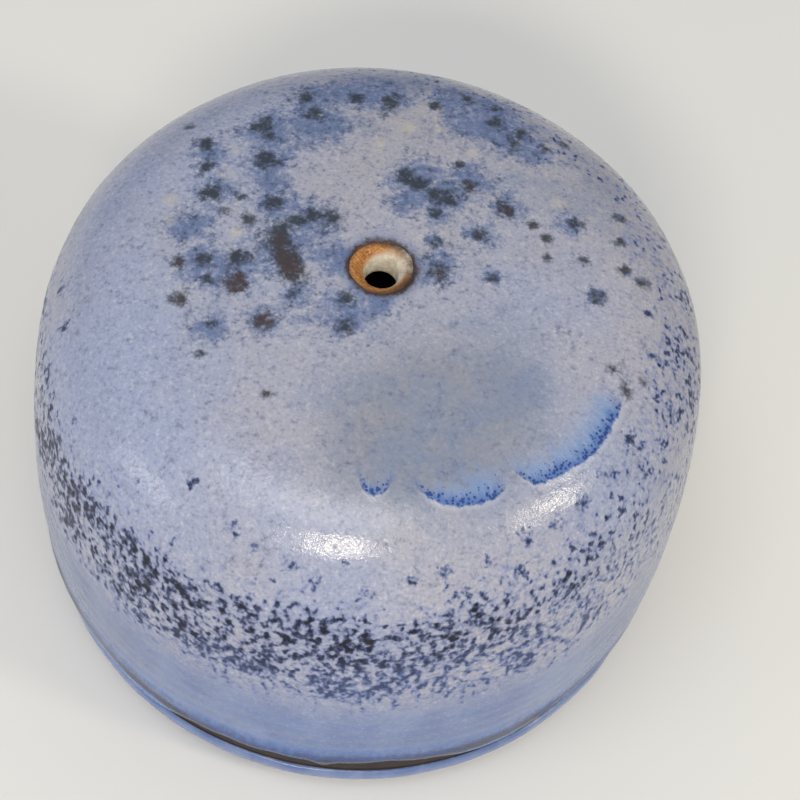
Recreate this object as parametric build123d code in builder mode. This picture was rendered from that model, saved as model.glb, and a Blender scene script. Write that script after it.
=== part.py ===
"""A round stoneware butter crock: a bell-shaped lid that stands over a water crock.

The lid is a thick-walled bell with a small vent in its crown. A butter cup hangs mouth down inside it, luted to
the crown by its foot ring. The bell's rim stands on the seat of the crock, and the cup's mouth reaches down into
the crock's well of water, which keeps air from the butter. A blue glaze coats the outside and a pale liner glaze
the inside. Clay stays bare on the foot ring, the seat, the bell's rim and the lip of the vent.

Every piece is turned on one axis, so each is a half section revolved about Z.
Millimetres. +Z is up, and the origin is the centre of the foot ring's underside.
"""

import os
from math import atan2, degrees, sqrt

from build123d import *

# Driving dimensions
OUTSIDE_DIAMETER = 115.0  # over the glaze, where the wall is widest
OVERALL_HEIGHT = 83.0
BELLY_HEIGHT = 34.0  # height of the widest place
CROWN_RADIUS = 233.0  # the outside is three arcs: a nearly flat crown,
SHOULDER_RADIUS = 20.6  # a round shoulder
WALL_RADIUS = 181.0  # and a barely swelling wall
SEAT_HEIGHT = 10.5  # the bell's rim stands on the crock here
BLUE_THICKNESS = 0.6
LINER_THICKNESS = 0.4

# The bell, in clay dimensions
BELL_WALL = 5.0
RIM_ROUND = 1.5
BARE_RIM = 6.0  # height of the glaze-free band above the rim, outside
BARE_INSIDE = 2.4  # and inside
VENT_RADIUS = 2.65
VENT_LIP_ROUND = 2.7
VENT_INNER_ROUND = 0.6

# The butter cup, mouth down, in clay dimensions
CUP_RADIUS = 36.6
CUP_WALL = 3.6
CUP_MOUTH_HEIGHT = 17.4
CUP_CEILING = 58.0  # the cup's floor, which is uppermost here
CUP_FLOOR = 5.0
CUP_CORNER = 8.0
CUP_MOUTH_ROUND = 1.7
CUP_FOOT_RADIUS = 30.0
CUP_FOOT_WALL = 7.0
CUP_COIL = 5.0  # the luting coil in the corner of foot ring and crown

# The crock, in clay dimensions
BASE_RADIUS = 55.2
BASE_SIDE_TOP = 8.6  # below here the side curves in to the underside
BASE_SIDE_RADIUS = 5.6
BASE_TOP_ROUND = 1.2
FOOT_RADIUS = 44.0
FOOT_WALL = 7.0
FOOT_ROUND = 1.2
BARE_FOOT = 2.0  # the glaze stops this far from the foot ring
WELL_RADIUS = 47.6
WELL_WALL = 4.1
WELL_TOP = 58.0
WELL_FLOOR = 8.0
WELL_LIP_ROUND = 1.8
WELL_COIL = 6.0  # the luting coil in the corner of well wall and floor
BARE_SEAT = 2.0  # the liner glaze stops this far above the seat
GLAZE_DROP = 0.3  # and the blue glaze this far under it

# Worked out from those
BELL_INSIDE = BLUE_THICKNESS + BELL_WALL  # depths are measured in from the surface of the blue glaze
LINER_SURFACE = BELL_INSIDE + LINER_THICKNESS
CROWN_CENTRE = Vector(0, OVERALL_HEIGHT - CROWN_RADIUS)
WALL_CENTRE = Vector(OUTSIDE_DIAMETER / 2 - WALL_RADIUS, BELLY_HEIGHT)
CUP_INSIDE = CUP_RADIUS - CUP_WALL
CUP_TOP = CUP_CEILING + CUP_FLOOR
COIL_RADIUS = CUP_FOOT_RADIUS + CUP_COIL
WELL_INSIDE = WELL_RADIUS - WELL_WALL
BASE_UNDERSIDE = BASE_SIDE_TOP - BASE_SIDE_RADIUS
FAR = 200.0  # clear of the whole object


def heading(start: Vector, end: Vector) -> float:
    """The direction from one point to another, in degrees."""
    return degrees(atan2(end.Y - start.Y, end.X - start.X))


def shoulder_centre() -> Vector:
    """The centre of the arc that touches the crown's arc and the wall's arc from inside."""
    from_crown = CROWN_RADIUS - SHOULDER_RADIUS
    from_wall = WALL_RADIUS - SHOULDER_RADIUS
    between = WALL_CENTRE - CROWN_CENTRE
    along = (from_crown**2 - from_wall**2 + between.length**2) / (2 * between.length)
    forward = between.normalized()
    outward = Vector(forward.Y, -forward.X)
    return CROWN_CENTRE + forward * along + outward * sqrt(from_crown**2 - along**2)


SHOULDER_CENTRE = shoulder_centre()
WALL_END = heading(WALL_CENTRE, SHOULDER_CENTRE)  # where the wall's arc meets the shoulder's
CROWN_END = heading(CROWN_CENTRE, SHOULDER_CENTRE)  # where the shoulder's meets the crown's


def wall_radius(height: float, depth: float) -> float:
    """The bell's radius at a height, that deep under the glaze."""
    return WALL_CENTRE.X + sqrt((WALL_RADIUS - depth) ** 2 - (height - BELLY_HEIGHT) ** 2)


def crown_height(radius: float, depth: float) -> float:
    """The crown's height at a radius, that deep under the glaze."""
    return CROWN_CENTRE.Y + sqrt((CROWN_RADIUS - depth) ** 2 - radius**2)


def corner(sketch: BuildSketch, x: float, y: float) -> Vertex:
    """The sketch's corner nearest a point."""
    return sketch.vertices().sort_by_distance((x, y, 0))[0]


def rectangle(left: float, bottom: float, right: float, top: float, mode: Mode = Mode.ADD):
    """A rectangle in the open sketch, by its edges."""
    with Locations(((left + right) / 2, (bottom + top) / 2)):
        Rectangle(right - left, top - bottom, mode=mode)


def bell_form(depth: float) -> Sketch:
    """Everything inside the bell's outline, that deep under the glaze, down to the seat."""
    start = heading(WALL_CENTRE, Vector(wall_radius(SEAT_HEIGHT, depth), SEAT_HEIGHT))
    with BuildSketch() as form:
        with BuildLine():
            wall = CenterArc(WALL_CENTRE, WALL_RADIUS - depth, start, WALL_END - start)
            CenterArc(SHOULDER_CENTRE, SHOULDER_RADIUS - depth, WALL_END, CROWN_END - WALL_END)
            crown = CenterArc(CROWN_CENTRE, CROWN_RADIUS - depth, CROWN_END, 90 - CROWN_END)
            Polyline(crown @ 1, (0, SEAT_HEIGHT), wall @ 0)
        make_face()
    return form.sketch


def cup_form(grown: float) -> Sketch:
    """The cup's wall and floor without its foot ring, that much thicker all over."""
    outer_corner = CUP_CORNER + CUP_WALL
    with BuildSketch() as form:
        rectangle(0, CUP_MOUTH_HEIGHT - grown, CUP_RADIUS + grown, CUP_TOP + grown)
        fillet(corner(form, CUP_RADIUS, CUP_TOP), outer_corner + grown)
        with BuildSketch(mode=Mode.PRIVATE) as hollow:
            rectangle(0, 0, CUP_INSIDE - grown, CUP_CEILING - grown)
            fillet(corner(hollow, CUP_INSIDE, CUP_CEILING), CUP_CORNER - grown)
        add(hollow.sketch, mode=Mode.SUBTRACT)
        fillet(corner(form, CUP_RADIUS, CUP_MOUTH_HEIGHT), CUP_MOUTH_ROUND + grown)
        fillet(corner(form, CUP_INSIDE, CUP_MOUTH_HEIGHT), CUP_MOUTH_ROUND + grown)
    return form.sketch


def base_form(grown: float) -> Sketch:
    """The crock's broad disc without its foot ring and floor, that much thicker all over."""
    side_centre = Vector(BASE_RADIUS - BASE_SIDE_RADIUS, BASE_SIDE_TOP)
    with BuildSketch() as form:
        with BuildLine():
            side = CenterArc(side_centre, BASE_SIDE_RADIUS + grown, -90, 90)
            top_corner = Vector(BASE_RADIUS + grown, SEAT_HEIGHT + grown)
            Polyline(side @ 1, top_corner, (0, top_corner.Y), (0, BASE_UNDERSIDE - grown), side @ 0)
        make_face()
        fillet(corner(form, top_corner.X, top_corner.Y), BASE_TOP_ROUND + grown)
    return form.sketch


def well_form(grown: float, bottom: float) -> Sketch:
    """The well's wall from a height up, that much thicker on both sides and over its lip."""
    with BuildSketch() as form:
        rectangle(WELL_INSIDE - grown, bottom, WELL_RADIUS + grown, WELL_TOP + grown)
        for x in (WELL_INSIDE, WELL_RADIUS):
            fillet(corner(form, x, WELL_TOP), WELL_LIP_ROUND + grown)
    return form.sketch


def well_hollow(shrunk: float, top: float) -> Sketch:
    """The space for water over the floor, coil and wall, that much smaller all round."""
    chamfer_size = WELL_COIL - (2 - sqrt(2)) * shrunk
    with BuildSketch() as form:
        rectangle(0, WELL_FLOOR + shrunk, WELL_INSIDE - shrunk, top)
        chamfer(corner(form, WELL_INSIDE, WELL_FLOOR), chamfer_size)
    return form.sketch


# The crock's base: a broad disc with a seat round its rim, a sunk floor and a foot ring
with BuildPart() as crock_base:
    with BuildSketch(Plane.XZ) as section:
        add(base_form(0))
        rectangle(0, 0, FOOT_RADIUS, WELL_FLOOR)
        fillet(corner(section, FOOT_RADIUS, 0), FOOT_ROUND)
        rectangle(0, 0, FOOT_RADIUS - FOOT_WALL, BASE_UNDERSIDE, mode=Mode.SUBTRACT)
        fillet(corner(section, FOOT_RADIUS - FOOT_WALL, 0), FOOT_ROUND)
        rectangle(0, WELL_FLOOR, WELL_RADIUS, FAR, mode=Mode.SUBTRACT)
    revolve()

# The well's wall: a thrown cylinder standing on the floor, inside the seat
with BuildPart() as well_wall:
    with BuildSketch(Plane.XZ):
        add(well_form(0, WELL_FLOOR))
    revolve()

# The coil of clay pressed into the corner of the well's wall and floor
with BuildPart() as well_lute_coil:
    with BuildSketch(Plane.XZ):
        with BuildLine():
            Polyline(
                (WELL_INSIDE, WELL_FLOOR),
                (WELL_INSIDE, WELL_FLOOR + WELL_COIL),
                (WELL_INSIDE - WELL_COIL, WELL_FLOOR),
                close=True,
            )
        make_face()
    revolve()

# The liner glaze of the well: floor, coil, wall, lip and the wall's outside to just above the seat
LIP_START = WELL_TOP - 8.0
with BuildPart() as well_liner_glaze:
    with BuildSketch(Plane.XZ):
        add(well_form(LINER_THICKNESS, LIP_START))
        add(well_form(0, LIP_START), mode=Mode.SUBTRACT)
        rectangle(WELL_RADIUS, SEAT_HEIGHT + BARE_SEAT, WELL_RADIUS + LINER_THICKNESS, LIP_START)
        with BuildSketch(mode=Mode.PRIVATE) as lining:
            add(well_hollow(0, LIP_START))
            add(well_hollow(LINER_THICKNESS, LIP_START), mode=Mode.SUBTRACT)
        add(lining.sketch)
    revolve()

# The blue glaze of the base: its side and its underside, clear of the seat and the foot ring
with BuildPart() as base_blue_glaze:
    with BuildSketch(Plane.XZ):
        add(base_form(BLUE_THICKNESS))
        add(base_form(0), mode=Mode.SUBTRACT)
        rectangle(0, SEAT_HEIGHT - GLAZE_DROP, FAR, FAR, mode=Mode.SUBTRACT)
        rectangle(0, 0, FOOT_RADIUS + BARE_FOOT, FAR, mode=Mode.SUBTRACT)
    revolve()

# The bell's shell: crown, shoulder and wall in one thrown piece, with the vent cut through its crown
with BuildPart() as bell_shell:
    with BuildSketch(Plane.XZ) as section:
        add(bell_form(BLUE_THICKNESS))
        add(bell_form(BELL_INSIDE), mode=Mode.SUBTRACT)
        for depth in (BLUE_THICKNESS, BELL_INSIDE):
            fillet(corner(section, wall_radius(SEAT_HEIGHT, depth), SEAT_HEIGHT), RIM_ROUND)
        rectangle(0, 0, VENT_RADIUS, FAR, mode=Mode.SUBTRACT)
        fillet(corner(section, VENT_RADIUS, OVERALL_HEIGHT), VENT_LIP_ROUND)
        fillet(corner(section, VENT_RADIUS, OVERALL_HEIGHT - BELL_INSIDE), VENT_INNER_ROUND)
    revolve()

# The blue glaze of the bell, from the vent's lip to just above its rim
with BuildPart() as bell_blue_glaze:
    with BuildSketch(Plane.XZ):
        add(bell_form(0))
        add(bell_form(BLUE_THICKNESS), mode=Mode.SUBTRACT)
        rectangle(0, 0, FAR, SEAT_HEIGHT + BARE_RIM, mode=Mode.SUBTRACT)
        rectangle(0, 0, VENT_RADIUS + VENT_LIP_ROUND, FAR, mode=Mode.SUBTRACT)
    revolve()

# The liner glaze inside the bell, from just above its rim to the luting coil
with BuildPart() as bell_liner_glaze:
    with BuildSketch(Plane.XZ):
        add(bell_form(BELL_INSIDE))
        add(bell_form(LINER_SURFACE), mode=Mode.SUBTRACT)
        rectangle(0, 0, FAR, SEAT_HEIGHT + BARE_INSIDE, mode=Mode.SUBTRACT)
        rectangle(0, 0, COIL_RADIUS, FAR, mode=Mode.SUBTRACT)
    revolve()

# The butter cup, mouth down, with its foot ring trimmed to the underside of the crown
with BuildPart() as butter_cup:
    with BuildSketch(Plane.XZ):
        rectangle(CUP_FOOT_RADIUS - CUP_FOOT_WALL, CUP_CEILING, CUP_FOOT_RADIUS, FAR)
        add(bell_form(BELL_INSIDE), mode=Mode.INTERSECT)
        add(cup_form(0))
    revolve()

# The liner glaze of the cup: inside, over its mouth and up its outside to the foot ring
with BuildPart() as cup_liner_glaze:
    with BuildSketch(Plane.XZ):
        add(cup_form(LINER_THICKNESS))
        add(cup_form(0), mode=Mode.SUBTRACT)
        rectangle(0, CUP_CEILING, CUP_FOOT_RADIUS, FAR, mode=Mode.SUBTRACT)
    revolve()

# The coil of clay pressed into the corner of the cup's foot ring and the crown
with BuildPart() as cup_lute_coil:
    with BuildSketch(Plane.XZ):
        with BuildLine():
            Polyline(
                (CUP_FOOT_RADIUS, FAR),
                (CUP_FOOT_RADIUS, crown_height(CUP_FOOT_RADIUS, BELL_INSIDE) - CUP_COIL),
                (COIL_RADIUS, crown_height(COIL_RADIUS, BELL_INSIDE)),
                (COIL_RADIUS, FAR),
                close=True,
            )
        make_face()
        add(bell_form(BELL_INSIDE), mode=Mode.INTERSECT)
    revolve()

PIECES = {
    "crock_base": crock_base,
    "well_wall": well_wall,
    "well_lute_coil": well_lute_coil,
    "well_liner_glaze": well_liner_glaze,
    "base_blue_glaze": base_blue_glaze,
    "bell_shell": bell_shell,
    "bell_blue_glaze": bell_blue_glaze,
    "bell_liner_glaze": bell_liner_glaze,
    "butter_cup": butter_cup,
    "cup_liner_glaze": cup_liner_glaze,
    "cup_lute_coil": cup_lute_coil,
}
os.makedirs("parts", exist_ok=True)
for name, piece in PIECES.items():
    piece.part.label = name
    export_step(piece.part, f"parts/{name}.step")
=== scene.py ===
import math

import bpy
import numpy as np
from mathutils import Matrix, Vector


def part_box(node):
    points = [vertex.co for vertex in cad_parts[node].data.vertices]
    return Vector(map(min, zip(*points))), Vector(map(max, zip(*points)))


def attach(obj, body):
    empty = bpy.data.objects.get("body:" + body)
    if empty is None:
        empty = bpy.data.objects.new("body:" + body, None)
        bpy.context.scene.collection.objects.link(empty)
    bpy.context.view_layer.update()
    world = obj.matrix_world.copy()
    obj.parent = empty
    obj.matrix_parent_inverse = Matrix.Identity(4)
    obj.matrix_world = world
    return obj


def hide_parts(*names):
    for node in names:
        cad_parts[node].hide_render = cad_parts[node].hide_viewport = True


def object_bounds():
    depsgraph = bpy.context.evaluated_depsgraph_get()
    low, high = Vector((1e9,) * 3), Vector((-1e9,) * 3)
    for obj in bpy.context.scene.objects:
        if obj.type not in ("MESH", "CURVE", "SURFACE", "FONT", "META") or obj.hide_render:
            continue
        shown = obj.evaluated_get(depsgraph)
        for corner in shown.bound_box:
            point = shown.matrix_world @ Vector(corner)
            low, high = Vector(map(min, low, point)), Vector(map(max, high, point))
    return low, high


# A glazed stoneware butter crock. Every piece is thrown, so every mesh is a profile turned about Z, with the
# unevenness of hand work added on top. Lengths are millimetres until a mesh is made; heights come from the frame.

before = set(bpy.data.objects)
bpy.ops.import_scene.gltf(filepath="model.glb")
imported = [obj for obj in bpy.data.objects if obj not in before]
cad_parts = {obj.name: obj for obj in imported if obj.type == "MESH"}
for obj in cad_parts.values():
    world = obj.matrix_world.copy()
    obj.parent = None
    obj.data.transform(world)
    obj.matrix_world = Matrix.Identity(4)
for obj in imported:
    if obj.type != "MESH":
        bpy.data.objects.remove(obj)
cad_low, cad_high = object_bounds()

MM = 0.001
FULL_TURN = 2 * math.pi


def millimetres(corner):
    return np.array(corner) / MM


# ---------------------------------------------------------------- sizes, from the frame where it has them

OUTSIDE_RADIUS = millimetres(cad_high)[0]
TOP = millimetres(cad_high)[2]
SEAT = millimetres(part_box("crock_base")[1])[2]
BASE_CLAY_RADIUS = millimetres(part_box("crock_base")[1])[0]
BELL_CLAY_TOP = millimetres(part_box("bell_shell")[1])[2]
BARE_RIM = millimetres(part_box("bell_blue_glaze")[0])[2] - SEAT
BLUE = OUTSIDE_RADIUS - millimetres(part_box("bell_shell")[1])[0]
WELL_TOP = millimetres(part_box("well_wall")[1])[2]
WELL_FLOOR = millimetres(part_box("well_wall")[0])[2]
WELL_CLAY_RADIUS = millimetres(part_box("well_wall")[1])[0]
LINER = millimetres(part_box("well_liner_glaze")[1])[0] - WELL_CLAY_RADIUS
CUP_CLAY_RADIUS = millimetres(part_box("butter_cup")[1])[0]
CUP_MOUTH = millimetres(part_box("butter_cup")[0])[2]

BELLY_HEIGHT = 34.0
CROWN_RADIUS = 233.0
SHOULDER_RADIUS = 20.6
WALL_RADIUS = 181.0
BELL_WALL = 5.0
VENT_RADIUS = 2.65
VENT_LIP = 2.7
RIM_ROUND = 1.5

# ---------------------------------------------------------------- profiles


def arc(centre, radius, start, end, step=0.5):
    """Points of an arc, angles in degrees."""
    count = max(4, int(abs(math.radians(end - start)) * radius / step) + 1)
    angle = np.radians(np.linspace(start, end, count))
    return np.stack([centre[0] + radius * np.cos(angle), centre[1] + radius * np.sin(angle)], -1)


def heading(start, end):
    return math.degrees(math.atan2(end[1] - start[1], end[0] - start[0]))


CROWN_CENTRE = np.array([0.0, TOP - CROWN_RADIUS])
WALL_CENTRE = np.array([OUTSIDE_RADIUS - WALL_RADIUS, BELLY_HEIGHT])


def shoulder_centre():
    from_crown = CROWN_RADIUS - SHOULDER_RADIUS
    from_wall = WALL_RADIUS - SHOULDER_RADIUS
    between = WALL_CENTRE - CROWN_CENTRE
    apart = np.hypot(*between)
    along = (from_crown**2 - from_wall**2 + apart**2) / (2 * apart)
    forward = between / apart
    outward = np.array([forward[1], -forward[0]])
    return CROWN_CENTRE + forward * along + outward * math.sqrt(from_crown**2 - along**2)


SHOULDER_CENTRE = shoulder_centre()
CROWN_END = heading(CROWN_CENTRE, SHOULDER_CENTRE)
WALL_START = heading(WALL_CENTRE, SHOULDER_CENTRE)


def bell_profile(depth, lowest):
    """The bell's outline that deep under the glaze's surface, from the axis out and down to a height."""
    wall_end = -math.degrees(math.asin((BELLY_HEIGHT - lowest) / (WALL_RADIUS - depth)))
    return np.concatenate(
        [
            arc(CROWN_CENTRE, CROWN_RADIUS - depth, 90, CROWN_END),
            arc(SHOULDER_CENTRE, SHOULDER_RADIUS - depth, CROWN_END, WALL_START)[1:],
            arc(WALL_CENTRE, WALL_RADIUS - depth, WALL_START, wall_end)[1:],
        ]
    )


def rounded(corners, step=0.7):
    """A path through (r, z, rounding) corners, its straights divided evenly."""
    points = [np.array(corners[0][:2], float)]
    for before, here, after in zip(corners, corners[1:], corners[2:]):
        at, rounding = np.array(here[:2], float), here[2]
        back = np.array(before[:2], float) - at
        ahead = np.array(after[:2], float) - at
        back /= np.hypot(*back)
        ahead /= np.hypot(*ahead)
        turn = math.acos(np.clip(back @ ahead, -1, 1))
        if rounding == 0 or turn > math.radians(179):
            points.append(at)
            continue
        reach = rounding / math.tan(turn / 2)
        bisector = back + ahead
        centre = at + bisector / np.hypot(*bisector) * rounding / math.sin(turn / 2)
        start, end = at + back * reach, at + ahead * reach
        first, last = heading(centre, start), heading(centre, end)
        sweep = (last - first + 180) % 360 - 180
        points.extend(arc(centre, rounding, first, first + sweep, step=0.25))
    points.append(np.array(corners[-1][:2], float))
    divided = [points[0]]
    for start, end in zip(points, points[1:]):
        pieces = max(1, int(np.hypot(*(end - start)) / step))
        divided.extend(start + (end - start) * k / pieces for k in range(1, pieces + 1))
    return np.array(divided)


class Path:
    """A profile measured along its length, with its normals on the left of its direction of travel."""

    def __init__(self, points):
        self.points = np.asarray(points, float)
        steps = np.diff(self.points, axis=0)
        lengths = np.hypot(steps[:, 0], steps[:, 1])
        keep = np.r_[True, lengths > 1e-6]
        self.points = self.points[keep]
        steps = np.diff(self.points, axis=0)
        lengths = np.hypot(steps[:, 0], steps[:, 1])
        self.along = np.r_[0, np.cumsum(lengths)]
        self.length = self.along[-1]
        tangent = np.gradient(self.points, self.along, axis=0)
        tangent /= np.hypot(tangent[:, 0], tangent[:, 1])[:, None]
        self.normals = np.stack([-tangent[:, 1], tangent[:, 0]], -1)

    def at(self, along):
        r = np.interp(along, self.along, self.points[:, 0])
        z = np.interp(along, self.along, self.points[:, 1])
        return r, z

    def normal(self, along):
        nr = np.interp(along, self.along, self.normals[:, 0])
        nz = np.interp(along, self.along, self.normals[:, 1])
        size = np.hypot(nr, nz)
        return nr / size, nz / size


# ---------------------------------------------------------------- unevenness of hand work


def ripple(angle, seed, waves=(2, 3, 5, 7), fall=1.0):
    """A smooth wander once round, about -1 to 1, from a few whole waves."""
    random = np.random.default_rng(seed)
    total = np.zeros_like(angle)
    for wave in waves:
        total += np.sin(wave * angle + random.uniform(0, FULL_TURN)) * (waves[0] / wave) ** fall
    return total / sum((waves[0] / wave) ** fall for wave in waves)


def lumps(points, seed, size, count=24):
    """A smooth random field over 3-D points, about -1 to 1, whose lumps are that many millimetres wide."""
    random = np.random.default_rng(seed)
    total = np.zeros(points.shape[:-1])
    for _ in range(count):
        direction = random.normal(size=3)
        direction /= np.linalg.norm(direction)
        frequency = FULL_TURN / size * random.uniform(0.5, 1.1)
        total += np.sin(points @ direction * frequency + random.uniform(0, FULL_TURN))
    return total / math.sqrt(count)


def smooth(value, low, high):
    """0 below low, 1 above high, and a smooth rise between."""
    t = np.clip((value - low) / (high - low), 0, 1)
    return t * t * (3 - 2 * t)


# ---------------------------------------------------------------- meshes


def turned(name, rows, closed, attributes=None):
    """A solid of revolution. rows is (row, column, xyz) in millimetres. closed joins the last row to the first;
    otherwise the first and last rows lie on the axis and become single points."""
    row_count, columns = rows.shape[:2]
    flat = rows.reshape(-1, 3)
    quads = []
    index = np.arange(row_count * columns).reshape(row_count, columns)
    last = row_count if closed else row_count - 1
    for i in range(last):
        a, b = index[i], index[(i + 1) % row_count]
        quads.append(np.stack([a, b, np.roll(b, -1), np.roll(a, -1)], -1))
    quads = np.concatenate(quads)
    mesh = bpy.data.meshes.new(name)
    mesh.from_pydata((flat * MM).tolist(), [], quads.tolist())
    for label, values in (attributes or {}).items():
        layer = mesh.attributes.new(label, "FLOAT", "POINT")
        layer.data.foreach_set("value", values.reshape(-1).astype(np.float32))
    made = bpy.data.objects.new(name, mesh)
    bpy.context.scene.collection.objects.link(made)
    finish_mesh(mesh, closed)
    return made


def finish_mesh(mesh, closed):
    """Joins the points at the poles, turns the faces outward and shades them smooth."""
    import bmesh

    work = bmesh.new()
    work.from_mesh(mesh)
    if not closed:
        poles = [v for v in work.verts if math.hypot(v.co.x, v.co.y) < 1e-7]
        bmesh.ops.remove_doubles(work, verts=poles, dist=1e-7)
    bmesh.ops.dissolve_degenerate(work, edges=work.edges, dist=1e-9)
    if work.calc_volume(signed=True) < 0:
        bmesh.ops.reverse_faces(work, faces=work.faces)
    for face in work.faces:
        face.smooth = True
    work.to_mesh(mesh)
    work.free()


def angles(columns):
    return np.linspace(0, FULL_TURN, columns, endpoint=False)


def place(r, z, angle):
    return np.stack([r * np.cos(angle), r * np.sin(angle), z + 0 * angle], -1)


def turned_outline(name, outline, columns, closed, wander=0.0, seed=0):
    """A plain thrown piece from its closed outline, or from one that starts and ends on the axis."""
    angle = angles(columns)[None, :]
    r, z = outline[:, 0][:, None], outline[:, 1][:, None]
    r = r * (1 + wander / OUTSIDE_RADIUS * ripple(angle, seed))
    return turned(name, place(r, z + 0 * r, angle + 0 * r), closed)


def roll_offsets(ease, count=8):
    """Distances from a coat's end where rows go, so that its rounded end is smooth."""
    return ease * (1 - np.cos(np.linspace(0, math.pi / 2, count)))


def to_the_axis(rows, end):
    """Gathers the first or last row into one point on the axis."""
    rows[end, :, :2] = 0
    rows[end, :, 2] = rows[end, :, 2].mean()


def coat(name, path, start, end, thickness, columns, step=0.8, axis=None, relief=None, fields=None,
         ease=(0.8, 0.8), bite=0.1):
    """A coat of glaze along a path with the clay on its right. start and end are lengths along the path, each one
    number or one per column. axis says which end, first or last, lies on the axis. The ends that don't are rounded
    over their ease. relief adds to the thickness, and bite is how far the coat's inner side lies inside the clay."""
    angle = angles(columns)[None, :]
    first = np.broadcast_to(np.asarray(start, float).reshape(1, -1), (1, columns))
    last = np.broadcast_to(np.asarray(end, float).reshape(1, -1), (1, columns))
    span = float(np.mean(last - first))
    low = [0.0] if axis == "first" else list(roll_offsets(ease[0]) / span)
    high = [1.0] if axis == "last" else list(1 - roll_offsets(ease[1])[::-1] / span)
    body = np.linspace(low[-1], high[0], max(2, int(span / step)) + 1)
    part = np.array(low[:-1] + list(body) + high[1:])[:, None]
    along = first + (last - first) * part
    from_end = last - along
    roll = np.ones_like(along)
    if axis != "last":
        roll = roll * np.sqrt(1 - (1 - np.clip(from_end / ease[1], 0, 1)) ** 2)
    if axis != "first":
        roll = roll * np.sqrt(1 - (1 - np.clip((along - first) / ease[0], 0, 1)) ** 2)
    r, z = path.at(along)
    nr, nz = path.normal(along)
    turn = angle + 0 * along
    height = thickness + 0 * along
    if relief is not None:
        height = height + relief(along, turn, r, z, from_end)
    outer = height * roll - bite * (1 - roll)
    outer_rows = place(r + nr * outer, z + nz * outer, angle)
    picked = np.unique(np.r_[0:len(along):5, len(along) - 1])
    ri, zi, nri, nzi = r[picked], z[picked], nr[picked], nz[picked]
    inner_rows = place(ri - nri * bite * 1.5, zi - nzi * bite * 1.5, angle)[::-1]
    if axis == "first":
        to_the_axis(outer_rows, 0)
        to_the_axis(inner_rows, -1)
    if axis == "last":
        to_the_axis(outer_rows, -1)
        to_the_axis(inner_rows, 0)
    values = fields(along, turn, r, z, from_end) if fields is not None else {}
    blank = np.zeros((len(inner_rows), columns))
    if axis == "last":
        rows = np.concatenate([inner_rows, outer_rows])
        attributes = {label: np.concatenate([blank, value]) for label, value in values.items()}
    else:
        rows = np.concatenate([outer_rows, inner_rows])
        attributes = {label: np.concatenate([value, blank]) for label, value in values.items()}
    return turned(name, rows, axis is None, attributes)


def round_the_pot(angle, keys):
    """A value that runs smoothly through (degrees, value) keys once round."""
    degrees = np.degrees(angle) % 360
    at = np.array([key[0] for key in keys] + [keys[0][0] + 360], float)
    value = np.array([key[1] for key in keys] + [keys[0][1]], float)
    degrees = np.where(degrees < at[0], degrees + 360, degrees)
    part = np.interp(degrees, at, np.arange(len(at)))
    base = np.minimum(part.astype(int), len(keys) - 1)
    t = part - base
    t = t * t * (3 - 2 * t)
    return value[base] * (1 - t) + value[base + 1] * t


# ---------------------------------------------------------------- the bell's blue glaze

BELL_PATH = Path(bell_profile(BLUE, SEAT))

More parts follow.
